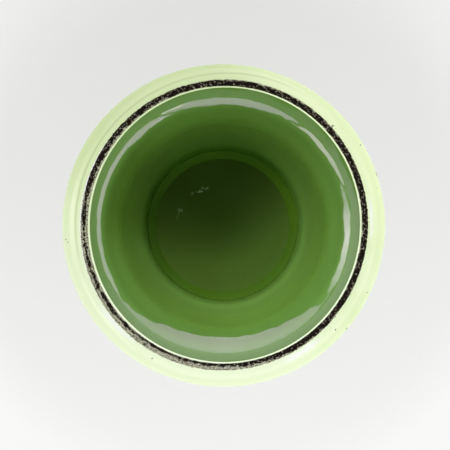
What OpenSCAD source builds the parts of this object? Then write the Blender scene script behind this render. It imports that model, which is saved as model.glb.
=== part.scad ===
// Thick-walled glazed brush pot with a rolled rim, standing on a turned foot ring.
// Origin at the middle of the foot's resting face, +Z up, millimetres.

/* [Rim] */
// Radius of the circle that runs along the crest of the rim
rim_radius = 43.6; // [36:0.1:55]
// Distance from the crest in to where the inner roll would stand upright
lip_run = 12.4; // [10:0.1:14]
// Drop of the inner roll, from the crest down to where it would stand upright
lip_drop = 11; // [8:0.5:14]
// Angle round the inner roll at which it runs out into the wall
lip_turn = 74; // [66:1:80]
// Distance from the crest out to the widest part, across the outer roll
shoulder_run = 6.7; // [5:0.1:10]
// Drop of the outer roll, from the crest down to the widest part
shoulder_drop = 4; // [3:0.5:14]
// Distance from the crest in to the joint between the pale coat and the green coat
coat_edge = 1.5; // [1.2:0.1:4]
// Reach of the painted band on the inside of the crest
band_inside = 0.9; // [0.4:0.1:1.5]
// Reach of the painted band on the outside of the crest
band_outside = 1.2; // [0.6:0.1:3]
// Thickness of the painted band
band_thickness = 0.2; // [0.1:0.05:0.4]

/* [Wall] */
// Height from the table to the top of the painted band
pot_height = 118; // [95:1:150]
// How much smaller the inside is at the floor than where the inner roll ends, in radius
inside_taper = 4.4; // [3:0.1:6]
// How much smaller the outside is at the heel than at the widest part, in radius
side_taper = 7.8; // [2:0.1:11]
// Radius of the bare rounded heel under the edge of the pale coat
heel_round = 1.6; // [0.8:0.1:3]

/* [Floor] */
// Thickness of the clay floor
floor_thickness = 6.4; // [4:0.2:12]
// Width of the clay coil pressed into the corner between wall and floor
coil_width = 3.1; // [2:0.1:5]
// Height of that coil above the clay floor
coil_height = 1.6; // [1:0.1:3]

/* [Foot] */
// Height of the foot ring
foot_height = 5; // [3:0.5:10]
// Width of the foot ring
foot_width = 6; // [4:0.5:8]
// Distance from the heel's bottom edge in to the foot ring
foot_inset = 0.8; // [0:0.1:3]
// Rounding of the foot ring's two bottom edges
foot_round = 1.2; // [0.4:0.1:1.8]

/* [Glaze] */
// Thickness of the pale coat and of the green coat
glaze_thickness = 0.6; // [0.3:0.05:0.9]
// Thickness of the coat in the hollow under the base
base_coat_thickness = 0.4; // [0.2:0.05:0.8]

/* [Hidden] */

// Fineness: turns of the lathe, steps along a roll, steps down the side, steps round an edge
$fn = 180;
roll_steps = 24;
side_steps = 28;
edge_steps = 8;

// Heights
crest_z = pot_height - band_thickness;
throat_z = crest_z - lip_drop * (1 - cos(lip_turn));
shoulder_z = crest_z - shoulder_drop;
heel_z = foot_height + heel_round;
clay_floor_z = foot_height + floor_thickness;
coil_z = clay_floor_z + coil_height;
floor_z = clay_floor_z + glaze_thickness;
wall_foot_z = coil_z + glaze_thickness;

// Radii of the glazed surfaces, and of the clay under them
throat_radius = rim_radius - lip_run * sin(lip_turn);
shoulder_radius = rim_radius + shoulder_run;
floor_radius = throat_radius - inside_taper;
heel_radius = shoulder_radius - side_taper;
clay_floor_radius = floor_radius + glaze_thickness;
clay_heel_radius = heel_radius - glaze_thickness;
foot_radius = clay_heel_radius - heel_round - foot_inset;
hollow_radius = foot_radius - foot_width;

// Angles round the rolls, from 0 at the crest to a quarter turn where the roll is upright
quarter_turn = 90;
coat_angle = asin(coat_edge / lip_run);
band_in_angle = asin(band_inside / lip_run);
band_out_angle = asin(band_outside / shoulder_run);

// A list of evenly spaced values from one number to another
function spread(from, to, steps) = [for (i = [0:steps]) from + (to - from) * i / steps];

// A list of points the other way round, and one without its first point
function backwards(points) = [for (i = [len(points) - 1:-1:0]) points[i]];
function after_first(points) = [for (i = [1:len(points) - 1]) points[i]];

// A point on a quarter-ellipse roll that starts at the crest, lifted along its normal
function roll_point(angle, run, drop, side, lift) =
    let (across = sin(angle) / run)
    let (up = cos(angle) / drop)
    let (size = norm([across, up]))
    [rim_radius + side * (run * sin(angle) + lift * across / size),
     crest_z - drop * (1 - cos(angle)) + lift * up / size];

// The inner roll and the outer roll between two angles
function lip(from, to, lift) =
    [for (a = spread(from, to, roll_steps)) roll_point(a, lip_run, lip_drop, -1, lift)];
function shoulder(from, to, lift) =
    [for (a = spread(from, to, roll_steps)) roll_point(a, shoulder_run, shoulder_drop, 1, lift)];

// The outside below the shoulder falls in along a parabola, upright at its top
function side_radius(z) =
    shoulder_radius - side_taper * pow((shoulder_z - z) / (shoulder_z - heel_z), 2);
function side(lift) =
    [for (z = spread(shoulder_z, heel_z, side_steps)) [side_radius(z) + lift, z]];

// The whole outside from the crest to the heel
function outside(lift) =
    concat(shoulder(0, quarter_turn, lift), after_first(side(lift)));

// The inside flares from upright at the wall's foot to the slope of the roll at the throat
wall_height = throat_z - wall_foot_z;
throat_slope = lip_run * cos(lip_turn) / (lip_drop * sin(lip_turn));
flare_power = throat_slope * wall_height / inside_taper;
function flare(share) = floor_radius + inside_taper * pow(share, flare_power);
function flare_slope(share) = throat_slope * pow(share, flare_power - 1);

// The inside of the wall from the throat down to its foot, lifted along its normal
function inside(lift) =
    [for (share = spread(1, 0, side_steps))
        let (slope = flare_slope(share))
        let (size = norm([1, slope]))
        [flare(share) - lift / size, wall_foot_z + wall_height * share + lift * slope / size]];

// Where the coil's top meets the clay wall
coil_seat = [clay_floor_radius, coil_z];

// The coil's top, a quarter ellipse about the corner, from the floor up to the wall
function coil_top(lift) =
    let (wide = coil_width + lift)
    let (high = coil_height + lift)
    [for (a = spread(asin(lift / high), acos(lift / wide), roll_steps))
        [clay_floor_radius - wide * cos(a), clay_floor_z + high * sin(a)]];

// The bare rounding under the pale coat, from the heel in to the foot's level
function heel() =
    [for (a = spread(0, quarter_turn, edge_steps))
        [clay_heel_radius - heel_round * (1 - cos(a)), heel_z - heel_round * sin(a)]];

// A quarter round on the foot ring's bottom edge, about a point over that edge
function foot_edge(radius, from) =
    [for (a = spread(from, from + quarter_turn, edge_steps))
        [radius + foot_round * cos(a), foot_round + foot_round * sin(a)]];

module turned(points) {
    rotate_extrude()
        polygon(points);
}

module pot_wall() {
    color("tan")
        turned(concat(
            [[clay_floor_radius, foot_height], [clay_floor_radius, clay_floor_z], coil_seat],
            backwards(inside(-glaze_thickness)),
            after_first(backwards(lip(0, lip_turn, -glaze_thickness))),
            after_first(outside(-glaze_thickness)),
            after_first(heel())));
}

module floor_disc() {
    color("tan")
        translate([0, 0, foot_height])
            cylinder(h = floor_thickness, r = clay_floor_radius);
}

module corner_coil() {
    color("peru")
        turned(concat(
            [[clay_floor_radius, clay_floor_z]],
            coil_top(0),
            [coil_seat]));
}

module foot_ring() {
    color("burlywood")
        turned(concat(
            [[hollow_radius, foot_height]],
            foot_edge(hollow_radius + foot_round, 2 * quarter_turn),
            foot_edge(foot_radius - foot_round, 3 * quarter_turn),
            [[foot_radius, foot_height]]));
}

module outer_glaze() {
    color([0.90, 0.96, 0.75])
        turned(concat(
            backwards(lip(0, coat_angle, 0)),
            after_first(outside(0)),
            backwards(outside(-glaze_thickness)),
            after_first(lip(0, coat_angle, -glaze_thickness))));
}

module inner_glaze() {
    color([0.38, 0.56, 0.22])
        turned(concat(
            lip(coat_angle, lip_turn, 0),
            after_first(inside(0)),
            backwards(coil_top(glaze_thickness)),
            [[0, floor_z], [0, clay_floor_z]],
            coil_top(0),
            [coil_seat],
            backwards(inside(-glaze_thickness)),
            after_first(backwards(lip(coat_angle, lip_turn, -glaze_thickness)))));
}

module base_glaze() {
    color([0.86, 0.92, 0.74])
        translate([0, 0, foot_height - base_coat_thickness])
            cylinder(h = base_coat_thickness, r = hollow_radius);
}

module rim_band() {
    color([0.10, 0.08, 0.06])
        turned(concat(
            backwards(lip(0, band_in_angle, band_thickness)),
            after_first(shoulder(0, band_out_angle, band_thickness)),
            backwards(shoulder(0, band_out_angle, 0)),
            after_first(lip(0, band_in_angle, 0))));
}

pot_wall();
floor_disc();
corner_coil();
foot_ring();
outer_glaze();
inner_glaze();
base_glaze();
rim_band();
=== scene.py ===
import math
import random
import bpy
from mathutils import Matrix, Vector, noise


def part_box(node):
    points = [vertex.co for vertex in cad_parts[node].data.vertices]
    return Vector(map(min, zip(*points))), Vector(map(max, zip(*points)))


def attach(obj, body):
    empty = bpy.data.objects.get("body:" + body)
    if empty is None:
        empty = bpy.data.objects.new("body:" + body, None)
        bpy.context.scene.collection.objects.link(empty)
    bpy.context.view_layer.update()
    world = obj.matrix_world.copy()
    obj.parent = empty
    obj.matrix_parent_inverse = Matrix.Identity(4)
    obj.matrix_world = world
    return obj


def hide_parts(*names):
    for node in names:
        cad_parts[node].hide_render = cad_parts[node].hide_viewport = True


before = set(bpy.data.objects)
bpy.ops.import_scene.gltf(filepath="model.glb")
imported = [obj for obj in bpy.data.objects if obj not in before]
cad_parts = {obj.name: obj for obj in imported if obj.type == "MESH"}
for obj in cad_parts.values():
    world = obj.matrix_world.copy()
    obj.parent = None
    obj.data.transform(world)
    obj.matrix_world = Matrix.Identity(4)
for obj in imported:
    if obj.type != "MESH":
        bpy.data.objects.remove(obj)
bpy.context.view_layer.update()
print("frame loaded:", sorted(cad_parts))

mm = 0.001
fullTurn = 2 * math.pi
quarterTurn = math.pi / 2
touch = 0.01 * mm                 # points this near a level lie on it
onAxis = 1e-9                     # points this near the pot's axis lie on it
sharpEdge = math.radians(25)
grainSpan = (0.3, 0.7)            # values that the noise textures mostly run between


# radius, lowest and highest point of a round node
def reach(node):
    low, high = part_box(node)
    return (high[0] - low[0]) / 2, low[2], high[2]


paleRadius, heelZ, crestZ = reach("outer_glaze")
clayFloorZ = reach("inner_glaze")[1]
clayFloorRadius = reach("floor_disc")[0]
coilZ = reach("corner_coil")[2]
footRadius, tableZ, footZ = reach("foot_ring")
hollowRadius, baseZ, _ = reach("base_glaze")
bandTopZ = reach("rim_band")[2]

# the rim's two rolls, as turned
rim = {
    "radius": 43.6 * mm,           # crest
    "lipRun": 12.4 * mm,           # crest in to where the inner roll would stand upright
    "lipDrop": 11.0 * mm,
    "lipTurn": math.radians(74),   # where it runs out into the wall
    "shoulderDrop": 4.0 * mm,
    "glaze": 0.6 * mm,             # both coats
}
# run and drop of the inner roll, side -1, and of the outer one, side 1
rolls = {
    -1: (rim["lipRun"], rim["lipDrop"]),
    1: (paleRadius - rim["radius"], rim["shoulderDrop"]),
}

# painted lines on the rim are a little off centre and oval: mean radius, then once and twice round
lines = {
    "seam": (42.14, 0.347, 0.198, -0.322, 0.158),
    "bandIn": (42.66, 0.319, 0.195, -0.279, 0.173),
    "bandOut": (44.75, 0.180, 0.140, -0.260, 0.230),
}

throatZ = crestZ - rim["lipDrop"] * (1 - math.cos(rim["lipTurn"]))
throatRadius = rim["radius"] - rim["lipRun"] * math.sin(rim["lipTurn"])
throatSlope = rim["lipRun"] / (rim["lipDrop"] * math.tan(rim["lipTurn"]))
shoulderZ = crestZ - rim["shoulderDrop"]
floorZ = clayFloorZ + rim["glaze"]
floorRadius = clayFloorRadius - rim["glaze"]
wallFootZ = coilZ + rim["glaze"]
wallHeight = throatZ - wallFootZ
flarePower = throatSlope * wallHeight / (throatRadius - floorRadius)


def spread(start, end, steps):
    return [start + (end - start) * i / steps for i in range(steps + 1)]


def ease(low, high, value):
    t = min(max((value - low) / (high - low), 0), 1)
    return t * t * (3 - 2 * t)


# points of (radius, height) along a straight run and along a round one
def straight(start, end, steps):
    return list(zip(spread(start[0], end[0], steps), spread(start[1], end[1], steps)))


def arc(middle, wide, high, start, end, steps):
    turns = spread(start, end, steps)
    return [(middle[0] + wide * math.cos(turn), middle[1] + high * math.sin(turn)) for turn in turns]


# a point on one of the rolls; turn is 0 on the crest and a quarter where it stands upright
def rollPoint(turn, side, lift=0.0):
    run, drop = rolls[side]
    across = math.sin(turn) / run
    up = math.cos(turn) / drop
    size = math.hypot(across, up)
    radius = rim["radius"] + side * (run * math.sin(turn) + lift * across / size)
    height = crestZ - drop * (1 - math.cos(turn)) + lift * up / size
    return radius, height


def rollTurn(distance, side):
    return math.asin(distance / rolls[side][0])


# a point on the inner wall, which flares from its foot, share 0, to the throat, share 1
def wallPoint(share, lift=0.0):
    slope = throatSlope * share ** (flarePower - 1)
    size = math.hypot(1, slope)
    radius = floorRadius + (throatRadius - floorRadius) * share ** flarePower - lift / size
    return radius, wallFootZ + wallHeight * share + lift * slope / size


def lineRadius(name, angle):
    mean, cos1, sin1, cos2, sin2 = lines[name]
    once = cos1 * math.cos(angle) + sin1 * math.sin(angle)
    twice = cos2 * math.cos(2 * angle) + sin2 * math.sin(2 * angle)
    return (mean + once + twice) * mm


# turn of the inner roll at which the pale coat meets the green one
def seamTurn(angle):
    return rollTurn(rim["radius"] - lineRadius("seam", angle), -1)


# smooth noise that closes on itself round the pot; size is in metres
def roundNoise(angle, radius, height, size, seed):
    spot = Vector((math.cos(angle) * radius, math.sin(angle) * radius, height)) / size
    return noise.noise(spot + Vector((seed, seed * 0.37, -seed)))


# turning marks: 0 on a ridge, -1 in a groove, one of each in a whole phase
def groove(phase):
    return (math.cos(fullTurn * phase) - 1) / 2


def putIn(name, data):
    thing = bpy.data.objects.new(name, data)
    bpy.context.collection.objects.link(thing)
    return thing


def newPiece(name, verts, faces):
    mesh = bpy.data.meshes.new(name)
    mesh.from_pydata(verts, [], faces)
    return putIn(name, mesh)


# turns a closed outline of (radius, height) points about the pot's axis.
# shape(angle, k, radius, height, outR, outZ) gives the moved point, outR and outZ being the outward normal
def turned(name, outline, turns, shape):
    count = len(outline)
    outs = []
    for k in range(count):
        r0, z0 = outline[k - 1]
        r1, z1 = outline[(k + 1) % count]
        size = math.hypot(r1 - r0, z1 - z0) or 1.0
        outs.append(((z1 - z0) / size, -(r1 - r0) / size))
    verts = []
    rings = []
    for k, (radius, height) in enumerate(outline):
        if radius < onAxis:
            rings.append([len(verts)] * turns)
            verts.append((0.0, 0.0, shape(0.0, k, radius, height, *outs[k])[1]))
            continue
        rings.append(range(len(verts), len(verts) + turns))
        for j in range(turns):
            angle = fullTurn * j / turns
            r, z = shape(angle, k, radius, height, *outs[k])
            verts.append((r * math.cos(angle), r * math.sin(angle), z))
    faces = []
    for k in range(count):
        here, there = rings[k], rings[(k + 1) % count]
        for j in range(turns):
            n = (j + 1) % turns
            face = [here[j], here[n], there[n], there[j]]
            face = [v for i, v in enumerate(face) if v != face[i - 1]]
            if len(face) > 2:
                faces.append(face)
    piece = newPiece(name, verts, faces)
    piece.data.shade_smooth()
    piece.data.set_sharp_from_angle(angle=sharpEdge)
    return piece


def settle(piece, node, material):
    piece.data.materials.clear()
    piece.data.materials.append(material)
    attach(piece, "root")
    if node:
        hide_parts(node)
    print(piece.name, "made:", len(piece.data.polygons), "faces")


# node helpers: inputs take a value or another node's socket
def wire(tree, kind, inputs=None, **settings):
    made = tree.nodes.new(kind)
    for key, value in settings.items():
        setattr(made, key, value)
    for key, value in (inputs or {}).items():
        if isinstance(value, bpy.types.NodeSocket):
            tree.links.new(value, made.inputs[key])
        else:
            made.inputs[key].default_value = value
    return made


def sums(tree, operation, *values):
    return wire(tree, "ShaderNodeMath", dict(enumerate(values)), operation=operation).outputs[0]


def times(tree, product, *others):
    for value in others:
        product = sums(tree, "MULTIPLY", product, value)
    return product


def offBy(tree, value, middle):
    return sums(tree, "ABSOLUTE", sums(tree, "SUBTRACT", value, middle))


def vectors(tree, operation, first, second, output=0):
    return wire(tree, "ShaderNodeVectorMath", {0: first, 1: second}, operation=operation).outputs[output]


# how far a place lies in a direction
def along(tree, place, direction):
    return vectors(tree, "DOT_PRODUCT", place, direction, "Value")


def fromAxis(tree, flat, centre=(0, 0, 0)):
    shifted = vectors(tree, "SUBTRACT", flat, centre)
    return wire(tree, "ShaderNodeVectorMath", {0: shifted}, operation="LENGTH").outputs["Value"]


def fade(tree, value, low, high, start=0.0, end=1.0):
    inputs = {"Value": value, "From Min": low, "From Max": high, "To Min": start, "To Max": end}
    return wire(tree, "ShaderNodeMapRange", inputs, interpolation_type="SMOOTHSTEP").outputs[0]


def blendColour(tree, factor, first, second, mode="MIX"):
    made = wire(tree, "ShaderNodeMix", {0: factor, 6: first, 7: second}, data_type="RGBA", blend_type=mode)
    return made.outputs[2]


def grain(tree, spot, scale, detail=3.0, roughness=0.55):
    inputs = {"Vector": spot, "Scale": scale, "Detail": detail, "Roughness": roughness}
    return wire(tree, "ShaderNodeTexNoise", inputs).outputs[0]


# random cells: distance from a cell's middle, and three chances for each cell
def cellsOf(tree, spot, scale):
    made = wire(tree, "ShaderNodeTexVoronoi", {"Vector": spot, "Scale": scale})
    chances = wire(tree, "ShaderNodeSeparateColor", {0: made.outputs["Color"]})
    return made.outputs["Distance"], chances.outputs


# round dots in some of those cells
def dotsIn(tree, spot, scale, size, without):
    distance, chances = cellsOf(tree, spot, scale)
    return times(tree, fade(tree, distance, *size), sums(tree, "GREATER_THAN", chances[0], without))


def newFinish(name):
    finish = bpy.data.materials.new(name)
    finish.use_nodes = True
    tree = finish.node_tree
    spot = wire(tree, "ShaderNodeTexCoord").outputs["Object"]
    return finish, tree, spot


# a spot's place seen from above, and its height
def split(tree, spot):
    parts = wire(tree, "ShaderNodeSeparateXYZ", {0: spot}).outputs
    return wire(tree, "ShaderNodeCombineXYZ", {"X": parts[0], "Y": parts[1]}).outputs[0], parts[2]


def coverWith(tree, colour, rough, ior=None):
    shader = tree.nodes["Principled BSDF"]
    tree.links.new(colour, shader.inputs["Base Color"])
    tree.links.new(rough, shader.inputs["Roughness"])
    if ior:
        shader.inputs["IOR"].default_value = ior


def raiseUp(tree, height, strength, distance):
    bump = wire(tree, "ShaderNodeBump", {"Height": height, "Strength": strength, "Distance": distance})
    tree.links.new(bump.outputs[0], tree.nodes["Principled BSDF"].inputs["Normal"])


# Pale coat: outside, over the crest and in to the seam with the green coat

paleCoat = {
    "turns": 540,
    "steps": {"heel": 8, "side": 90, "roll": 40, "crest": 10},
    "hiddenSteps": {"crest": 4, "roll": 16, "side": 20},
    "sideTaper": 7.8 * mm,
    "overCrest": 0.16,            # turn of the inner roll that the coat about covers
    "slump": 0.09 * mm,           # how far the surface wanders inwards
    "wander": 16 * mm,            # size of that wandering
    "rings": 0.035 * mm,          # throwing rings down the side
    "ringPitch": 7.5 * mm,
    "ringDrift": (0.35, 30 * mm),        # how much they wander, and over what length
    "ringsOver": 8 * mm,          # they fade out towards the heel and the crest
    "ringsUnder": (1 * mm, 12 * mm),
    "bead": 0.22 * mm,            # thick edge at the heel
    "beadUp": 0.8 * mm,
    "beadWide": 0.9 * mm,
    "sag": (0.1 * mm, 0.25 * mm),        # lift of that edge, and its waviness
    "sagSize": 9 * mm,
    "sagReach": 3 * mm,
}


def sideRadius(z):
    return paleRadius - paleCoat["sideTaper"] * ((shoulderZ - z) / (shoulderZ - heelZ)) ** 2


def makePaleCoat():
    c = paleCoat
    steps, hidden = c["steps"], c["hiddenSteps"]
    glaze = rim["glaze"]
    half = glaze / 2
    outer = arc((sideRadius(heelZ) - half, heelZ + half), half, half, math.pi, fullTurn, steps["heel"])
    outer += [(sideRadius(z), z) for z in spread(heelZ + half, shoulderZ, steps["side"])][1:]
    outer += [rollPoint(turn, 1) for turn in spread(quarterTurn, 0, steps["roll"])][1:]
    shown = len(outer)
    # the rest of the crest is drawn to the seam, wherever that is at each angle
    crest = [(share, 0.0) for share in spread(0, 1, steps["crest"])][1:]
    crest += [(share, -glaze) for share in spread(1, 0, hidden["crest"])]
    inner = [rollPoint(turn, 1, -glaze) for turn in spread(0, quarterTurn, hidden["roll"])][1:]
    inner += [(sideRadius(z) - glaze, z) for z in spread(shoulderZ, heelZ + half, hidden["side"])][1:]
    middle = [rollPoint(share * c["overCrest"], -1, lift) for share, lift in crest]

    def shape(angle, k, r, z, outR, outZ):
        if k >= shown + len(crest):
            return r, z
        move = (roundNoise(angle, r, z, c["wander"], seed=3.1) - 1) * 0.5 * c["slump"]
        if k >= shown:
            share, lift = crest[k - shown]
            if lift == 0:
                lift = move * (1 - share)
            return rollPoint(share * seamTurn(angle), -1, lift)
        drift, driftSize = c["ringDrift"]
        near, far = c["ringsUnder"]
        ringed = ease(heelZ, heelZ + c["ringsOver"], z) * ease(crestZ - near, crestZ - far, z)
        phase = z / c["ringPitch"] + drift * roundNoise(angle, r, z, driftSize, seed=8.7) + angle / fullTurn
        move += groove(phase) * c["rings"] * ringed
        move += c["bead"] * math.exp(-((z - heelZ - c["beadUp"]) / c["beadWide"]) ** 2)
        lift, wavy = c["sag"]
        sag = lift + wavy * roundNoise(angle, r, 0, c["sagSize"], seed=5.5)
        return r + outR * move, z + outZ * move + sag * ease(heelZ + c["sagReach"], heelZ, z)

    return turned("paleCoat", outer + middle + inner, c["turns"], shape)


paleFinish = {
    "thin": (0.82, 0.94, 0.60, 1),
    "thick": (0.76, 0.90, 0.52, 1),
    "mottle": 55,                 # clouds of these two, per metre
    "mottleSpan": (0.35, 0.65),
    # painted shade and painted light: darker on the side away from the light, lighter and whiter on the lit
    # sides; colour, side, distances that way over which it comes in
    "paintedShade": ((0.685, 0.820, 0.445, 1), (-0.42, 0.91, 0), 18 * mm, 46 * mm),
    "bright": ((0.845, 0.95, 0.645, 1), (-0.40, -0.92, 0), 5 * mm, 40 * mm),
    "light": ((0.85, 0.975, 0.585, 1), (0.77, 0.64, 0), 28 * mm, 46 * mm),
    "brightRing": (43.5 * mm, 44.5 * mm),        # radii over which the bright side starts
    "rimUnder": (14 * mm, 3 * mm),               # depths under the shoulder over which the rim starts
    "crestOver": 1.5 * mm,                       # and height over it for what is only on top
    "heel": (0.60, 0.76, 0.31, 1),
    "heelReach": (22 * mm, 6 * mm),              # heights over the table
    "heelSpan": (0.2, 0.7),
    # a faint darker line on the shoulder on one side, off centre like the band, and a painted highlight
    # along the band's outer edge
    "rings": [
        {"colour": (0.50, 0.62, 0.30, 1), "centre": (1.00 * mm, 0.25 * mm, 0), "radius": 46.9 * mm,
         "half": (0.55 * mm, 0.05 * mm), "side": (-0.64, 0.77, 0), "reach": (10 * mm, 35 * mm),
         "strength": 0.55},
        {"colour": (0.94, 0.96, 0.88, 1), "centre": (0, 0, 0), "radius": 44.3 * mm,
         "half": (0.45 * mm, 0.20 * mm), "side": (-1.0, 0.05, 0), "reach": (36 * mm, 42 * mm),
         "strength": 1.0},
    ],
    # painted highlights beside the band: direction, radius, half length and width
    "white": (0.93, 0.975, 0.85, 1),
    "paintedHighlights": [
        (223, 45.6 * mm, 10 * mm, 0.9 * mm),
        (302, 46.0 * mm, 9 * mm, 1.6 * mm),
        (2, 45.8 * mm, 9 * mm, 0.7 * mm),
    ],
    "core": (0.3, 0.2),           # share of that length and width that is whole
    "ragged": 0.3,                # waviness of their edges, as a share of the width
    "pinhole": (0.20, 0.19, 0.09, 1),
    "pinholes": 900,              # cells per metre, share of them without one, size in a cell
    "without": 0.985,
    "pinholeSize": (0.16, 0.06),
    "rough": (0.10, 0.16),
    "ior": 1.24,
    "fine": 700,
    "fineShare": 0.15,
    "bump": (0.12, 0.6 * mm),
}


def makePaleGlaze():
    c = paleFinish
    finish, tree, spot = newFinish("paleLimeGlaze")
    flat, height = split(tree, spot)
    radius = fromAxis(tree, flat)
    cloud = grain(tree, spot, c["mottle"], detail=4)
    fine = grain(tree, spot, c["fine"], detail=2)
    below, above = c["rimUnder"]
    atRim = fade(tree, height, shoulderZ - below, shoulderZ - above)
    onTop = fade(tree, height, shoulderZ, shoulderZ + c["crestOver"])
    brightRing = times(tree, atRim, fade(tree, radius, *c["brightRing"]))
    body = blendColour(tree, fade(tree, cloud, *c["mottleSpan"]), c["thin"], c["thick"])
    # painted shade on one side and painted light on the other sides
    for name, where in (("paintedShade", 1.0), ("bright", brightRing), ("light", atRim)):
        colour, side, start, end = c[name]
        amount = times(tree, fade(tree, along(tree, flat, side), start, end), where)
        body = blendColour(tree, amount, body, colour)
    low = times(tree, fade(tree, height, *c["heelReach"]), fade(tree, cloud, *c["heelSpan"]))
    body = blendColour(tree, low, body, c["heel"])
    # the first ring is a faint darker line, the second a painted highlight along the band
    for ring in c["rings"]:
        off = offBy(tree, fromAxis(tree, flat, ring["centre"]), ring["radius"])
        there = fade(tree, along(tree, flat, ring["side"]), *ring["reach"], 0.0, ring["strength"])
        drawn = times(tree, fade(tree, off, *ring["half"]), there, onTop)
        body = blendColour(tree, drawn, body, ring["colour"])
    # painted highlights beside the band
    coreLong, coreWide = c["core"]
    for direction, ring, long, wide in c["paintedHighlights"]:
        a = math.radians(direction)
        middle = (ring * math.cos(a), ring * math.sin(a), 0)
        near = fade(tree, fromAxis(tree, flat, middle), long, coreLong * long)
        ragged = c["ragged"] * wide
        off = sums(tree, "ADD", offBy(tree, radius, ring), fade(tree, cloud, *grainSpan, -ragged, ragged))
        thin = times(tree, near, fade(tree, off, wide, coreWide * wide), onTop)
        body = blendColour(tree, thin, body, c["white"])
    holes = dotsIn(tree, spot, c["pinholes"], c["pinholeSize"], c["without"])
    body = blendColour(tree, holes, body, c["pinhole"])
    coverWith(tree, body, fade(tree, cloud, *grainSpan, *c["rough"]), c["ior"])
    raiseUp(tree, sums(tree, "ADD", cloud, times(tree, fine, c["fineShare"])), *c["bump"])
    return finish


paleGlaze = makePaleGlaze()
settle(makePaleCoat(), "outer_glaze", paleGlaze)

# Green coat: from the seam down over lip, wall and coil to the floor

greenCoat = {
    "turns": 720,
    "steps": {"roll": 64, "wall": 110, "coil": 16, "floor": 56},
    "hiddenSteps": {"coil": 8, "wall": 30, "roll": 16},
    "wallEnd": 0.01,              # share of the wall's height where it gives way to the crease
    "lipWave": 0.08 * mm,         # waviness of the roll, which breaks up its reflections
    "lipWaveSize": 6.5 * mm,
    "lipRipple": (0.4, 0.45),     # a finer wave on it: share of the height and of the size
    "lipWaveStart": 0.12,         # share of the roll over which it starts at the seam
    "lipWaveReach": (30 * mm, 4 * mm),   # depths under the throat over which it ends
    "soft": 3 * mm,               # how softly the roll runs out into the wall
    "softReach": (12 * mm, 7.2 * mm),    # how far from the throat that ends, and is whole
    "rings": 0.004 * mm,          # throwing rings down the wall
    "ringPitch": 9 * mm,
    "ringDrift": (0.3, 25 * mm),
    "ringsOver": (3 * mm, 12 * mm),      # they fade out towards the floor and the throat
    "ringsUnder": (-2 * mm, 10 * mm),
    "floorRing": 18.3 * mm,       # faint raised ring on the floor
    "floorRingHigh": 0.02 * mm,
    "floorRingWide": 1.3 * mm,
    "floorRingDrift": (0.6 * mm, 12 * mm),
    "floorDents": (0.03 * mm, 7 * mm),   # their depth and size
    "floorMiddle": 4 * mm,
    "coilWide": 3.1 * mm,         # flat slope of glaze over the coil
    "coilTop": coilZ + 0.55 * mm,
    "coilBulge": 0.07 * mm,
    "crease": 0.18 * mm,          # groove between coil and wall
    "creaseShape": [(0.0, 1.0), (0.111, -0.2), (0.6, -0.9)],   # inwards and up, as shares of it
    "creaseWide": 1.2,
}


# how far each point of an outline moves to soften it round one of them, towards the mean of its neighbours
def softMoves(points, middle, size, ending, whole):
    steps = [0.0] + [math.dist(a, b) for a, b in zip(points, points[1:])] + [0.0, 0.0]
    stands = [before + 2 * here + after for before, here, after in zip(steps, steps[1:], steps[2:])]
    places = [sum(steps[:k + 1]) for k in range(len(points))]
    moves = {}
    for k, (r, z) in enumerate(points):
        amount = ease(ending, whole, abs(places[k] - places[middle]))
        if amount > 0:
            near = [math.exp(-((place - places[k]) / size) ** 2) for place in places]
            weights = [n * length for n, length in zip(near, stands)]
            meanR = sum(w * point[0] for w, point in zip(weights, points)) / sum(weights)
            meanZ = sum(w * point[1] for w, point in zip(weights, points)) / sum(weights)
            moves[k] = (amount * (meanR - r), amount * (meanZ - z))
    return moves


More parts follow.
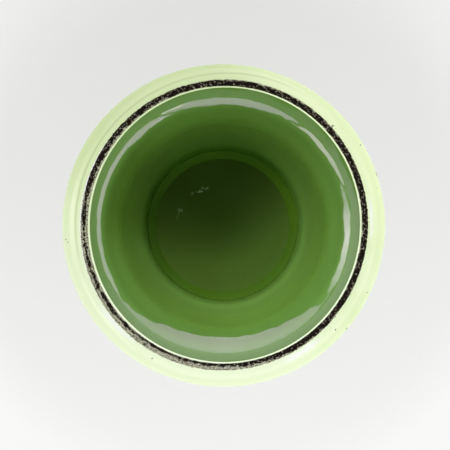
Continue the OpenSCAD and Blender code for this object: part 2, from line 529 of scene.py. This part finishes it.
def makeGreenCoat():
    c = greenCoat
    steps, hidden = c["steps"], c["hiddenSteps"]
    glaze = rim["glaze"]
    rollStart = rollTurn(rim["radius"] - lines["seam"][0] * mm, -1)
    rollEnd = rim["lipTurn"]
    shares = spread(0, 1, steps["roll"])
    roll = [rollPoint(rollStart + (rollEnd - rollStart) * share, -1) for share in shares]
    wall = [wallPoint(share) for share in spread(1, c["wallEnd"], steps["wall"])]
    deep = c["crease"]
    coil = [(floorRadius - deep * inwards, c["coilTop"] + deep * up) for inwards, up in c["creaseShape"]]
    slopeTop = (floorRadius - c["creaseWide"] * deep, c["coilTop"])
    slopeFoot = (floorRadius - c["coilWide"], floorZ)
    slope = straight(slopeTop, slopeFoot, steps["coil"])
    bulges = [c["coilBulge"] * math.sin(turn) for turn in spread(0, math.pi, steps["coil"])]
    coil += [(r, z + bulge) for (r, z), bulge in zip(slope, bulges)]
    floor = straight(slopeFoot, (0.0, floorZ), steps["floor"])
    outer = roll + wall[1:] + coil + floor[1:]
    softened = softMoves(outer, len(roll) - 1, c["soft"], *c["softReach"])
    under = [(0.0, clayFloorZ)]
    clayCorner = (clayFloorRadius, clayFloorZ)
    under += arc(clayCorner, c["coilWide"], coilZ - clayFloorZ, math.pi, quarterTurn, hidden["coil"])
    under += [wallPoint(share, -glaze) for share in spread(0, 1, hidden["wall"])]
    under += [rollPoint(turn, -1, -glaze) for turn in spread(rollEnd, rollStart, hidden["roll"])][1:]
    shown = len(outer)
    last = shown + len(under) - 1

    def waves(angle, k, r, z):
        share, size = c["lipRipple"]
        ending, whole = c["lipWaveReach"]
        if z < throatZ - ending:
            return 0.0
        keep = ease(throatZ - ending, throatZ - whole, z)
        if k < len(roll):
            keep = ease(0, c["lipWaveStart"], shares[k])
        wave = roundNoise(angle, r, z, c["lipWaveSize"], seed=1.7)
        wave += share * roundNoise(angle, r, z, c["lipWaveSize"] * size, seed=6.2)
        return c["lipWave"] * keep * wave

    def wallRings(angle, r, z):
        start, whole = c["ringsOver"]
        end, full = c["ringsUnder"]
        drift, size = c["ringDrift"]
        ringed = ease(floorZ + start, floorZ + whole, z) * ease(throatZ - end, throatZ - full, z)
        phase = z / c["ringPitch"] + drift * roundNoise(angle, r, z, size, seed=4.4) + angle / fullTurn
        return groove(phase) * c["rings"] * ringed

    def floorMarks(angle, r):
        drift, size = c["floorRingDrift"]
        dent, dentSize = c["floorDents"]
        ring = c["floorRing"] + drift * roundNoise(angle, r, 0, size, seed=2.2)
        raised = c["floorRingHigh"] * math.exp(-((r - ring) / c["floorRingWide"]) ** 2)
        return raised + dent * roundNoise(angle, r, 0, dentSize, seed=9.9) * ease(0, c["floorMiddle"], r)

    def shape(angle, k, r, z, outR, outZ):
        if k == last:
            return rollPoint(seamTurn(angle), -1, -glaze)
        if k >= shown or r < onAxis:
            return r, z
        if k < len(roll):
            seam = seamTurn(angle)
            r, z = rollPoint(seam + (rollEnd - seam) * shares[k], -1)
        if k in softened:
            r, z = r + softened[k][0], z + softened[k][1]
        move = waves(angle, k, r, z)
        if z > floorZ + c["ringsOver"][0]:
            move += wallRings(angle, r, z)
        elif z < floorZ + touch:
            move += floorMarks(angle, r)
        return r + outR * move, z + outZ * move

    return turned("greenCoat", outer + under, c["turns"], shape)


greenFinish = {
    "lip": (0.102, 0.220, 0.036, 1),
    # colours further down, and the depths under the crest over which each comes in: lighter at the lip
    # where the glaze breaks, darker just under it as painted shade, lighter on the deep wall as painted
    # light
    "down": [
        ((0.0575, 0.128, 0.0155, 1), 0.4 * mm, 2.6 * mm),
        ((0.0460, 0.1025, 0.0090, 1), 2.6 * mm, 8 * mm),
        ((0.108, 0.233, 0.026, 1), 7.5 * mm, 57 * mm),
    ],
    # painted light: the wall's foot is lighter, lifting the shade in the crease by the coil
    "foot": (0.155, 0.330, 0.034, 1),
    "footReach": (30 * mm, 2 * mm),          # heights over the coil
    # coil colour, darkened as painted shade on the side the lamps light
    "coil": (0.048, 0.114, 0.005, 1),
    "coilSoft": 0.3 * mm,
    "footPaintedLight": (0.21, 0.44, 0.036, 1),      # both are lighter copies for the shaded side, as painted light
    "coilPaintedLight": (0.090, 0.194, 0.006, 1),
    "paintedLightSide": (0.26, 0.97, 0),
    "paintedLightReach": (-4 * mm, 22 * mm),
    # painted shade: a darker tint on the shaded side of the lip and wall: cosines from a side, depths
    "thick": (0.73, 0.73, 0.55, 1),
    "shadeSide": (-0.927, 0.375, 0),
    "shadeReach": (0.76, 0.99),
    "shadeUnder": (0.8 * mm, 3.5 * mm),
    # painted shade: a darker tint in rings on the lit side, where the lamps light the wall too much: depth,
    # half height, cosines from a side
    "run": (0.85, 0.855, 0.88, 1),
    "litSide": (0.34, -0.94, 0),
    "runs": [(4.3 * mm, 2.7 * mm, 0.3, 0.9), (34 * mm, 17 * mm, -0.3, 0.5)],
    "floor": (0.073, 0.135, 0.0125, 1),
    "floorSoft": (0.2 * mm, -0.3 * mm),
    "floorShade": (0.058, 0.110, 0.0095, 1),  # painted shade, darker towards the lit side: radii, cosines
    "floorShadeRadii": (15 * mm, 22 * mm),
    "floorShadeReach": (0.2, 0.9),
    "pooled": (0.065, 0.17, 0.016, 1),       # in streaks and clouds, by their shares
    "streaks": 90,
    "stretch": (1, 1, 0.22),
    "clouds": 45,
    "pooling": (0.6, 0.4),
    "poolSpan": (0.35, 0.75),
    "poolMost": 0.25,
    # painted highlights on the floor, standing for reflections in its glaze: middle, direction, half
    # length, strength
    "glintColour": (0.62, 0.74, 0.46, 1),
    "floorGlints": [
        ((-8.2 * mm, 12.7 * mm, 0), 16, 3.8 * mm, 0.9),
        ((-15.8 * mm, 3.9 * mm, 0), 72, 2.6 * mm, 0.4),
    ],
    "glintHalf": (0.34 * mm, 0.08 * mm),   # half width, and that of its core
    "glintWhole": 0.7,                     # share of the length before it fades
    "glintDrift": 0.9 * mm,
    "glintCurls": 420,
    "glintGrit": (0.36, 0.56, 0.15),       # how it breaks up: span of the grain, least strength
    "rough": (0.05, 0.10),
    "wallRough": 0.36,                       # duller down the wall
    "wallUnder": (2.5 * mm, 9 * mm),
    "ior": 1.50,
    "fine": 900,
    "fineShare": 0.1,
    "bump": (0.06, 0.5 * mm),
}


def makeGreenGlaze():
    c = greenFinish
    finish, tree, spot = newFinish("greenGlaze")
    flat, height = split(tree, spot)
    radius = fromAxis(tree, flat)
    stretched = vectors(tree, "MULTIPLY", spot, c["stretch"])
    streak = grain(tree, stretched, c["streaks"], detail=5, roughness=0.6)
    cloud = grain(tree, spot, c["clouds"])
    fine = grain(tree, spot, c["fine"], detail=2)
    under = sums(tree, "SUBTRACT", crestZ, height)
    coilTop = greenCoat["coilTop"]
    coilIn = floorRadius - greenCoat["coilWide"]
    atBottom = fade(tree, height, coilTop + c["coilSoft"], coilTop)
    # painted light: lighter wall foot and coil on the shaded side
    paintedLightMask = fade(tree, along(tree, flat, c["paintedLightSide"]), *c["paintedLightReach"])
    body = c["lip"]
    # colours down the wall: painted shade just under the lip, painted light deep down
    for colour, start, end in c["down"]:
        body = blendColour(tree, fade(tree, under, start, end), body, colour)
    # painted light at the wall's foot
    high, low = c["footReach"]
    atFoot = fade(tree, height, coilTop + high, coilTop + low)
    body = blendColour(tree, atFoot, body, blendColour(tree, paintedLightMask, c["foot"], c["footPaintedLight"]))
    # painted shade on the shaded side
    shadeSide = sums(tree, "DIVIDE", along(tree, flat, c["shadeSide"]), radius)
    thick = times(tree, fade(tree, shadeSide, *c["shadeReach"]), fade(tree, under, *c["shadeUnder"]))
    body = blendColour(tree, thick, body, c["thick"], "MULTIPLY")
    litSide = sums(tree, "DIVIDE", along(tree, flat, c["litSide"]), radius)
    # painted shade in rings on the lit side
    for depth, half, start, end in c["runs"]:
        ringShade = times(tree, fade(tree, litSide, start, end), fade(tree, offBy(tree, under, depth), half, 0))
        body = blendColour(tree, ringShade, body, c["run"], "MULTIPLY")
    body = blendColour(tree, atBottom, body, blendColour(tree, paintedLightMask, c["coil"], c["coilPaintedLight"]))
    outwards, inwards = c["floorSoft"]
    onFloor = times(tree, atBottom, fade(tree, radius, coilIn + outwards, coilIn + inwards))
    # painted shade on the floor's edge towards the lit side
    edge = times(tree, fade(tree, radius, *c["floorShadeRadii"]), fade(tree, litSide, *c["floorShadeReach"]))
    body = blendColour(tree, onFloor, body, blendColour(tree, edge, c["floor"], c["floorShade"]))
    streaky, cloudy = c["pooling"]
    pooled = sums(tree, "ADD", times(tree, streak, streaky), times(tree, cloud, cloudy))
    body = blendColour(tree, fade(tree, pooled, *c["poolSpan"], 0.0, c["poolMost"]), body, c["pooled"])
    curls = grain(tree, spot, c["glintCurls"], detail=2)
    drift = fade(tree, curls, *grainSpan, -c["glintDrift"], c["glintDrift"])
    # painted highlights on the floor
    for middle, direction, long, strength in c["floorGlints"]:
        a = math.radians(direction)
        shifted = vectors(tree, "SUBTRACT", flat, middle)
        ahead = sums(tree, "ABSOLUTE", along(tree, shifted, (math.cos(a), math.sin(a), 0)))
        aside = sums(tree, "ADD", along(tree, shifted, (-math.sin(a), math.cos(a), 0)), drift)
        mark = fade(tree, sums(tree, "ABSOLUTE", aside), *c["glintHalf"])
        mark = times(tree, mark, fade(tree, ahead, long, c["glintWhole"] * long), onFloor)
        mark = times(tree, mark, fade(tree, fine, *c["glintGrit"], strength))
        body = blendColour(tree, mark, body, c["glintColour"])
    onWall = times(tree, fade(tree, under, *c["wallUnder"]), sums(tree, "SUBTRACT", 1.0, atBottom))
    rough = fade(tree, streak, *grainSpan, *c["rough"])
    rough = sums(tree, "MAXIMUM", rough, times(tree, onWall, c["wallRough"]))
    coverWith(tree, body, rough, c["ior"])
    raiseUp(tree, sums(tree, "ADD", streak, times(tree, fine, c["fineShare"])), *c["bump"])
    return finish


settle(makeGreenCoat(), "inner_glaze", makeGreenGlaze())

# Painted band on the crest, with a ragged edge on both sides

band = {
    "turns": 2000,
    "steps": 14,
    "inRag": (0.10 * mm, 0.80 * mm),     # depth and size of the ragged edges
    "outRag": (0.22 * mm, 0.64 * mm),
    "spur": (42.4, 0.5, 1.1 * mm),       # one drip of paint: direction and half width in degrees, length
    "body": (0.55, 0.2),                 # thickness as a share of the solid's, and how much it varies
    "bodySize": 1.5 * mm,
    "blunt": 6,                          # how suddenly it thins out at the edges
    "sunk": 0.15 * mm,
}


def makeBand():
    c = band
    thick = bandTopZ - crestZ
    places = spread(-1, 1, c["steps"])
    outline = [(place, True) for place in reversed(places)] + [(place, False) for place in places]
    start = [(rim["radius"], crestZ)] * len(outline)

    def rag(angle, name, seed):
        depth, size = c[name]
        return depth * roundNoise(angle, rim["radius"], 0, size, seed)

    def shape(angle, k, r, z, outR, outZ):
        place, onTop = outline[k]
        direction, half, length = c["spur"]
        low = lineRadius("bandIn", angle) - rim["radius"] + rag(angle, "inRag", 3.3)
        high = lineRadius("bandOut", angle) - rim["radius"] + rag(angle, "outRag", 7.9)
        high += length * max(0.0, 1 - abs(math.degrees(angle) - direction) / half)
        distance = low + (high - low) * (place + 1) / 2
        side = -1 if distance < 0 else 1
        lift = -c["sunk"]
        if onTop:
            share, varies = c["body"]
            share += varies * roundNoise(angle, rim["radius"] + distance, 0, c["bodySize"], seed=5.1)
            lift = thick * (1 - place ** c["blunt"]) * share
        return rollPoint(rollTurn(abs(distance), side), side, lift)

    return turned("rimBand", start, c["turns"], shape)


bandFinish = {
    "black": (0.002, 0.002, 0.001, 1),
    "brown": (0.014, 0.011, 0.006, 1),
    "tan": (0.50, 0.50, 0.33, 1),
    "grey": (0.29, 0.30, 0.21, 1),
    "speck": (0.28, 0.265, 0.18, 1),           # bare flecks on the unworn stripe
    "fleck": 3700,                             # cells per metre
    "bare": (0.085, 0.76),                     # share of bare flecks on the stripe and off it
    "stripeCentre": (0.21 * mm, 0.45 * mm, 0),
    "stripeRadius": 43.59 * mm,
    "stripeHalf": (0.95 * mm, 0.38 * mm),      # half its width, and that on the worn side
    "stripeDrift": 0.35 * mm,
    "stripeSoft": 0.15 * mm,
    "wornSide": (-0.75, -0.66, 0),
    "wornReach": (10 * mm, 40 * mm),
    "clouds": 420,
    "rough": (0.45, 0.70),
    "ior": 1.1,
    "bump": (0.3, 0.1 * mm),
}


def makeBandPaint():
    c = bandFinish
    finish, tree, spot = newFinish("wornBandPaint")
    flat, _ = split(tree, spot)
    _, chances = cellsOf(tree, spot, c["fleck"])
    cloud = grain(tree, spot, c["clouds"])
    drift = fade(tree, cloud, *grainSpan, -c["stripeDrift"], c["stripeDrift"])
    off = sums(tree, "ADD", offBy(tree, fromAxis(tree, flat, c["stripeCentre"]), c["stripeRadius"]), drift)
    half = fade(tree, along(tree, flat, c["wornSide"]), *c["wornReach"], *c["stripeHalf"])
    past = sums(tree, "SUBTRACT", off, half)
    soft = c["stripeSoft"]
    bare = sums(tree, "LESS_THAN", chances[0], fade(tree, past, -soft, soft, *c["bare"]))
    dark = blendColour(tree, chances[1], c["black"], c["brown"])
    light = blendColour(tree, chances[2], c["tan"], c["grey"])
    light = blendColour(tree, fade(tree, past, -soft, soft), c["speck"], light)
    body = blendColour(tree, bare, dark, light)
    coverWith(tree, body, fade(tree, cloud, *grainSpan, *c["rough"]), c["ior"])
    raiseUp(tree, chances[1], *c["bump"])
    return finish


settle(makeBand(), "rim_band", makeBandPaint())

# Foot ring with turning marks, and the other clay

foot = {
    "turns": 360,
    "steps": {"side": 16, "edge": 8, "bottom": 20},
    "round": 1.2 * mm,
    "marks": 0.05 * mm,
    "markPitch": 0.9 * mm,
    "markDrift": (0.3, 14 * mm),
    "grit": (0.06 * mm, 3 * mm),      # depth and size
}


def makeFoot():
    c = foot
    steps = c["steps"]
    rad = c["round"]
    innerEdge = (hollowRadius + rad, tableZ + rad)
    outerEdge = (footRadius - rad, tableZ + rad)
    outline = straight((hollowRadius, footZ), (hollowRadius, innerEdge[1]), steps["side"])
    outline += arc(innerEdge, rad, rad, math.pi, math.pi + quarterTurn, steps["edge"])[1:]
    outline += straight((innerEdge[0], tableZ), (outerEdge[0], tableZ), steps["bottom"])[1:]
    outline += arc(outerEdge, rad, rad, -quarterTurn, 0, steps["edge"])[1:]
    outline += straight((footRadius, outerEdge[1]), (footRadius, footZ), steps["side"])[1:]

    def shape(angle, k, r, z, outR, outZ):
        if z > footZ - touch or z < tableZ + touch:
            return r, z
        drift, driftSize = c["markDrift"]
        grit, gritSize = c["grit"]
        phase = (r + z) / c["markPitch"] + drift * roundNoise(angle, r, z, driftSize, seed=4.1)
        move = groove(phase) * c["marks"]
        move -= grit * (0.5 + 0.5 * roundNoise(angle, r, z, gritSize, seed=6.6))
        return r + outR * move, z + outZ * move

    return turned("footRing", outline, c["turns"], shape)


clayFinish = {
    "clay": (0.60, 0.48, 0.34, 1),
    "warm": (0.50, 0.36, 0.23, 1),
    "clouds": 80,
    "cloudSpan": (0.35, 0.65),
    "grit": (0.16, 0.11, 0.07, 1),
    "grits": 1100,                # cells per metre, share of them without grit, size in a cell
    "without": 0.9,
    "gritSize": (0.30, 0.15),
    "fine": 1800,
    "rough": (0.75, 0.95),
    "bump": (0.5, 0.3 * mm),
}


def makeFiredClay():
    c = clayFinish
    finish, tree, spot = newFinish("firedClay")
    cloud = grain(tree, spot, c["clouds"], detail=4)
    fine = grain(tree, spot, c["fine"], roughness=0.7)
    body = blendColour(tree, fade(tree, cloud, *c["cloudSpan"]), c["clay"], c["warm"])
    grit = dotsIn(tree, spot, c["grits"], c["gritSize"], c["without"])
    body = blendColour(tree, grit, body, c["grit"])
    coverWith(tree, body, fade(tree, fine, *grainSpan, *c["rough"]))
    raiseUp(tree, sums(tree, "SUBTRACT", fine, grit), *c["bump"])
    return finish


firedClay = makeFiredClay()
settle(makeFoot(), "foot_ring", firedClay)
for node in ("pot_wall", "floor_disc", "corner_coil"):
    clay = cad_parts[node]
    clay.data.materials.clear()
    clay.data.materials.append(firedClay)
print("clay dressed")

# Coat in the hollow under the foot

baseCoat = {
    "turns": 240,
    "steps": 40,
    "wave": (0.12 * mm, 10 * mm),     # height and size
    "rings": 0.08 * mm,
    "ringPitch": 4 * mm,
    "ringsFrom": 6 * mm,
    "edge": 2 * mm,                   # flat again towards the foot ring
}


def makeBaseCoat():
    c = baseCoat
    under = straight((0.0, baseZ), (hollowRadius, baseZ), c["steps"])
    over = [(hollowRadius, footZ), (0.0, footZ)]

    def shape(angle, k, r, z, outR, outZ):
        if k >= len(under) or r < onAxis:
            return r, z
        high, size = c["wave"]
        move = high * (0.5 + 0.5 * roundNoise(angle, r, 0, size, seed=2.9))
        move -= groove(r / c["ringPitch"] + angle / fullTurn) * c["rings"] * ease(0, c["ringsFrom"], r)
        return r, z + move * ease(hollowRadius, hollowRadius - c["edge"], r)

    return turned("baseCoat", under + over, c["turns"], shape)


settle(makeBaseCoat(), "base_glaze", paleGlaze)

# Iron specks that came up through the pale coat, and one on the inner wall

specks = {
    # direction round the pot and turn down the shoulder in degrees, width and length in millimetres
    "shoulder": [
        (30.4, 58, 0.42, 0.42), (-43.0, 34, 0.55, 0.50), (-40.0, 70, 0.50, 0.60), (-25.0, 59, 0.40, 0.40),
        (241.7, 29, 0.45, 0.40), (185.1, 57, 0.45, 0.45), (186.2, 49, 0.35, 0.40), (18.5, 80, 0.50, 1.70),
    ],
    "wall": [(-30.5, 0.93, 0.55, 0.55)],     # here with the share of the wall's height
    "stray": 46,                             # more of them, smaller, lower on the side
    "strayHeight": (0.04, 0.9),              # share of the side they start at, and that they spread over
    "straySize": (0.16, 0.26),
    "strayLong": (0.8, 0.5),
    "high": 0.05 * mm,                       # their tops lie level with the coat
    "root": 0.12 * mm,
    "corners": 12,
    "rings": [(1.0, -0.10), (0.8, 0.5), (0.45, 0.9)],      # share of the width, share of the height
    "lobes": [(0.22, 2, 9), (0.12, 3, 5)],   # uneven outline: depth, count, turn with the direction
    "seed": 12,
}


def makeSpecks():
    c = specks
    verts, faces = [], []
    draw = random.Random(c["seed"])
    count = c["corners"]

    # place and lifted are (radius, height) of the spot and of a point one millimetre out from it
    def blob(angle, place, lifted, wide, long):
        out = ((lifted[0] - place[0]) / mm, (lifted[1] - place[1]) / mm)
        spot = Vector((place[0] * math.cos(angle), place[0] * math.sin(angle), place[1]))
        up = Vector((out[0] * math.cos(angle), out[0] * math.sin(angle), out[1]))
        ahead = Vector((-math.sin(angle), math.cos(angle), 0))
        across = up.cross(ahead)
        first = len(verts)
        for size, rise in c["rings"]:
            for j in range(count):
                t = fullTurn * j / count
                bumps = [depth * math.sin(lobes * t + angle * shift) for depth, lobes, shift in c["lobes"]]
                half = size * (1 + sum(bumps)) / 2 * mm
                flat = ahead * (math.cos(t) * long * half) + across * (math.sin(t) * wide * half)
                verts.append(spot + flat + up * (rise - 1) * c["high"])
        top = len(verts)
        verts.append(spot)
        verts.append(spot - up * c["root"])
        upper = top - count
        for j in range(count):
            n = (j + 1) % count
            for ring in range(first, upper, count):
                faces.append([ring + j, ring + n, ring + count + n, ring + count + j])
            faces.append([upper + j, upper + n, top])
            faces.append([first + n, first + j, top + 1])

    for direction, down, wide, long in c["shoulder"]:
        turn = math.radians(down)
        blob(math.radians(direction), rollPoint(turn, 1), rollPoint(turn, 1, mm), wide, long)
    for direction, share, wide, long in c["wall"]:
        blob(math.radians(direction), wallPoint(share), wallPoint(share, mm), wide, long)
    start, over = c["strayHeight"]
    small, more = c["straySize"]
    short, longer = c["strayLong"]
    for i in range(c["stray"]):
        z = heelZ + (shoulderZ - heelZ) * (start + over * draw.random())
        size = small + more * draw.random() ** 2
        angle = fullTurn * draw.random()
        long = size * (short + longer * draw.random())
        blob(angle, (sideRadius(z), z), (sideRadius(z) + mm, z), size, long)
    piece = newPiece("ironSpecks", verts, faces)
    piece.data.shade_smooth()
    return piece


speckFinish = {
    "dark": (0.02, 0.017, 0.012, 1),
    "rusty": (0.10, 0.085, 0.05, 1),
    "clouds": 3000,
    "rough": (0.25, 0.50),
}


def makeSpeckIron():
    c = speckFinish
    finish, tree, spot = newFinish("speckIron")
    cloud = grain(tree, spot, c["clouds"], detail=2)
    body = blendColour(tree, cloud, c["dark"], c["rusty"])
    coverWith(tree, body, fade(tree, cloud, *grainSpan, *c["rough"]))
    return finish


settle(makeSpecks(), None, makeSpeckIron())

# Floor

ground = {
    "size": 3.0,
    "grey": (0.92, 0.92, 0.92, 1),
    "glow": 0.70,              # share of plain brightness the camera sees
    "middle": 0.84,            # that brightness under the pot
    "towardsTop": -1.04,       # its change per metre up the picture, painted light that is brighter towards the bottom
    "corners": 0.15,           # and far from the pot, so that it is darker near the pot as a painted shadow
    "cornerReach": (0.080, 0.125),
    "least": 0.70,
    "most": 1.0,
}


def makeFloor():
    c = ground
    half = c["size"] / 2
    corners = [(-half, -half, 0), (half, -half, 0), (half, half, 0), (-half, half, 0)]
    floor = newPiece("floor", corners, [(0, 1, 2, 3)])
    finish, tree, spot = newFinish("paleFloor")
    tree.nodes.remove(tree.nodes["Principled BSDF"])
    up = wire(tree, "ShaderNodeSeparateXYZ", {0: spot}).outputs[1]
    # painted light on the floor: lighter towards the bottom of the picture and away from the pot
    bright = sums(tree, "MULTIPLY_ADD", up, c["towardsTop"], c["middle"])
    outwards = fade(tree, fromAxis(tree, spot), *c["cornerReach"], 0.0, c["corners"])
    bright = sums(tree, "ADD", bright, outwards)
    bright = sums(tree, "MINIMUM", sums(tree, "MAXIMUM", bright, c["least"]), c["most"])
    plain = wire(tree, "ShaderNodeBsdfDiffuse", {"Color": c["grey"]}).outputs[0]
    glow = wire(tree, "ShaderNodeEmission", {"Strength": bright}).outputs[0]
    seen = times(tree, wire(tree, "ShaderNodeLightPath").outputs["Is Camera Ray"], c["glow"])
    both = wire(tree, "ShaderNodeMixShader", {0: seen, 1: plain, 2: glow}).outputs[0]
    tree.links.new(both, tree.nodes["Material Output"].inputs["Surface"])
    floor.data.materials.append(finish)


makeFloor()
print("floor laid")

# Studio: an even sky for the light, and white cards with gaps between them for the reflections

cards = [
    # in degrees: direction they stand in, half width, upper and lower edge from overhead, where the two
    # ends point; then how blunt those are, how much dimmer they are, and the colour
    {"turn": 172.5, "half": 26, "top": 36, "foot": 57, "ends": (45, 48),
     "bow": 6, "dim": 0.70, "glow": (13.0, 10.4, 13.2)},
    {"turn": 216.5, "half": 20, "top": 35, "foot": 49, "ends": (36, 49),
     "bow": 4, "dim": 0.15, "glow": (8.2, 6.5, 7.8)},
    {"turn": 267.0, "half": 32, "top": 33, "foot": 55, "ends": (32, 34),
     "bow": 5.5, "dim": 0.0, "glow": (5.0, 3.7, 5.4)},
    {"turn": 345.5, "half": 51.5, "top": 34, "foot": 50, "ends": (56, 38),
     "bow": 8, "dim": 0.10, "glow": (6.1, 4.6, 6.3)},
    {"turn": 309.0, "half": 11, "top": 50, "foot": 55.5, "ends": (50, 50),
     "bow": 2.5, "dim": 0.0, "glow": (6.1, 4.6, 6.3)},
    {"turn": 294.0, "half": 4.5, "top": 33, "foot": 38.5, "ends": (36, 36),
     "bow": 2, "dim": 0.0, "glow": (6.5, 6.0, 5.0)},
    {"turn": 91.0, "half": 56, "top": 33, "foot": 81, "ends": (34, 39),
     "bow": 2.4, "dim": 0.30, "glow": (5.5, 3.6, 5.9)},
]
sky = {
    "even": 1.115,
    "towards": 300,            # brighter on this side
    "lean": 0.19,
    "overhead": 0.90,          # share left straight above
    "overheadTo": (8, 40),     # degrees from overhead, here and below
    "low": (1.3, 1.9),         # more from low down, away from that side and on it
    "lowFrom": (82, 87),
    "lowSide": (-0.55, 0.35),  # cosines from that side
    "softTop": 0.6,            # soft edges of the cards
    "softFoot": 0.9,
    "dimPower": 0.65,          # how early they dim towards their ends
    "veil": (2.2, 1.5, 2.3),   # soft reflection above the cards
    "veilTop": (5.5, 10),
    "veilFoot": (35, 31),
    "veilTurn": 120,
    "veilAside": (110, 70),    # degrees from that direction
    "veilLeft": 0.3,           # share left behind it
    "reflected": 0.02,         # in all reflections
    "bounces": 1.5,            # cards are seen in the glaze, not in its reflection
    "backdrop": (0.80, 0.80, 0.80, 1),
}


def makeStudio():
    c = sky
    world = bpy.data.worlds.new("studio")
    bpy.context.scene.world = world
    world.use_nodes = True
    tree = world.node_tree
    tree.nodes.clear()
    way = wire(tree, "ShaderNodeTexCoord").outputs["Generated"]
    upwards = wire(tree, "ShaderNodeSeparateXYZ", {0: way}).outputs[2]
    tilt = sums(tree, "DEGREES", sums(tree, "ARCCOSINE", upwards))

    def facing(degrees):
        a = math.radians(degrees)
        return along(tree, way, (math.cos(a), math.sin(a), 0))

    def aside(degrees):
        return sums(tree, "DEGREES", sums(tree, "ARCTAN2", facing(degrees + 90), facing(degrees)))

    def withGlow(light, colour, amount):
        scaled = wire(tree, "ShaderNodeVectorMath", {0: colour, "Scale": amount}, operation="SCALE")
        return vectors(tree, "ADD", light, scaled.outputs[0])

    def either(path, no, yes):
        return wire(tree, "ShaderNodeMixShader", {0: path, 1: no, 2: yes}).outputs[0]

    mirrored = (c["reflected"],) * 3
    for card in cards:
        place = sums(tree, "DIVIDE", aside(card["turn"]), card["half"])
        off = sums(tree, "ABSOLUTE", place)
        taper = sums(tree, "POWER", off, card["bow"])
        bow = sums(tree, "MAXIMUM", sums(tree, "SUBTRACT", 1.0, taper), 0.0)
        end = fade(tree, place, -1.0, 1.0, *card["ends"])
        top = sums(tree, "MULTIPLY_ADD", bow, sums(tree, "SUBTRACT", card["top"], end), end)
        foot = sums(tree, "MULTIPLY_ADD", bow, sums(tree, "SUBTRACT", card["foot"], end), end)
        under = fade(tree, sums(tree, "SUBTRACT", tilt, top), -c["softTop"], c["softTop"])
        over = fade(tree, sums(tree, "SUBTRACT", foot, tilt), -c["softFoot"], c["softFoot"])
        dimmed = sums(tree, "MULTIPLY_ADD", sums(tree, "POWER", off, c["dimPower"]), -card["dim"], 1.0)
        inside = times(tree, under, over, sums(tree, "GREATER_THAN", bow, 0.0), dimmed)
        mirrored = withGlow(mirrored, card["glow"], inside)
    veilSide = fade(tree, sums(tree, "ABSOLUTE", aside(c["veilTurn"])), *c["veilAside"], c["veilLeft"], 1.0)
    veil = times(tree, fade(tree, tilt, *c["veilTop"]), fade(tree, tilt, *c["veilFoot"]), veilSide)
    mirrored = withGlow(mirrored, c["veil"], veil)
    even = sums(tree, "MULTIPLY_ADD", facing(c["towards"]), c["lean"], 1.0)
    even = times(tree, even, fade(tree, tilt, *c["overheadTo"], c["overhead"] * c["even"], c["even"]))
    side = fade(tree, facing(c["towards"]), *c["lowSide"], *c["low"])
    even = sums(tree, "ADD", even, times(tree, side, fade(tree, tilt, *c["lowFrom"])))
    path = wire(tree, "ShaderNodeLightPath").outputs
    first = sums(tree, "LESS_THAN", path["Glossy Depth"], c["bounces"])
    light = wire(tree, "ShaderNodeBackground", {"Strength": even}).outputs[0]
    cardLight = wire(tree, "ShaderNodeBackground", {"Color": mirrored, "Strength": first}).outputs[0]
    backdrop = wire(tree, "ShaderNodeBackground", {"Color": c["backdrop"]}).outputs[0]
    lit = either(path["Is Camera Ray"], either(path["Is Glossy Ray"], light, cardLight), backdrop)
    wire(tree, "ShaderNodeOutputWorld", {"Surface": lit})


makeStudio()

# Narrow lamps on an arc, which shine into the mouth from one side

mouthLamps = {
    "turn": 112,              # middle of the arc
    "sweep": 75,              # half its length
    "tilt": 29,               # from overhead, and half the spread of that
    "rise": 12,
    "away": 1.2,
    "count": 90,
    "goldenStep": 0.618034,   # spacing round the arc, as a share of it
    "beam": 39 * mm,          # radius at the throat
    "past": 6.5 * mm,         # how far past the middle they aim
    "size": 6 * mm,
    "power": 295,
    "colour": (1.05, 0.95, 1.70),
}


def makeLamps():
    c = mouthLamps
    for i in range(c["count"]):
        share = i * c["goldenStep"] % 1 * 2 - 1
        step = (i + 0.5) / c["count"] * 2 - 1
        turn = math.radians(c["turn"] + c["sweep"] * share)
        tilt = math.radians(c["tilt"] + c["rise"] * step)
        level = Vector((math.cos(turn), math.sin(turn), 0))
        target = Vector((0, 0, throatZ)) - level * c["past"]
        place = target + (level * math.sin(tilt) + Vector((0, 0, math.cos(tilt)))) * c["away"]
        lamp = bpy.data.lights.new("mouthLamp", "SPOT")
        lamp.energy = c["power"] / c["count"]
        lamp.color = c["colour"]
        lamp.spot_size = 2 * math.atan(c["beam"] / c["away"])
        lamp.spot_blend = 1.0
        lamp.shadow_soft_size = c["size"]
        holder = putIn("mouthLamp", lamp)
        holder.location = place
        holder.rotation_euler = (place - target).to_track_quat("Z", "Y").to_euler()
        holder.visible_glossy = False


makeLamps()
print("studio lit")

# Camera straight above the mouth, a touch to the left of the axis

lookDown = {
    "aboveRim": 600 * mm,
    "aside": (-2.39 * mm, 0.0),
    "focalPixels": 1940,
    "imagePixels": 450,
    "crestCentre": (223.75, 225.4),   # pixels from the picture's top left corner
    "sensor": 36.0,
}


def makeCamera():
    c = lookDown
    view = bpy.data.cameras.new("overheadCamera")
    view.sensor_width = c["sensor"]
    view.lens = c["sensor"] * c["focalPixels"] / c["imagePixels"]
    pixelsPerMetre = c["focalPixels"] / c["aboveRim"]
    axisX = c["imagePixels"] / 2 - c["aside"][0] * pixelsPerMetre      # where the axis falls with no shift
    axisY = c["imagePixels"] / 2 + c["aside"][1] * pixelsPerMetre
    view.shift_x = (axisX - c["crestCentre"][0]) / c["imagePixels"]
    view.shift_y = (c["crestCentre"][1] - axisY) / c["imagePixels"]
    holder = putIn("overheadCamera", view)
    holder.location = (c["aside"][0], c["aside"][1], bandTopZ + c["aboveRim"])
    bpy.context.scene.camera = holder


makeCamera()
bpy.context.scene.view_settings.view_transform = "Standard"
print("camera set")
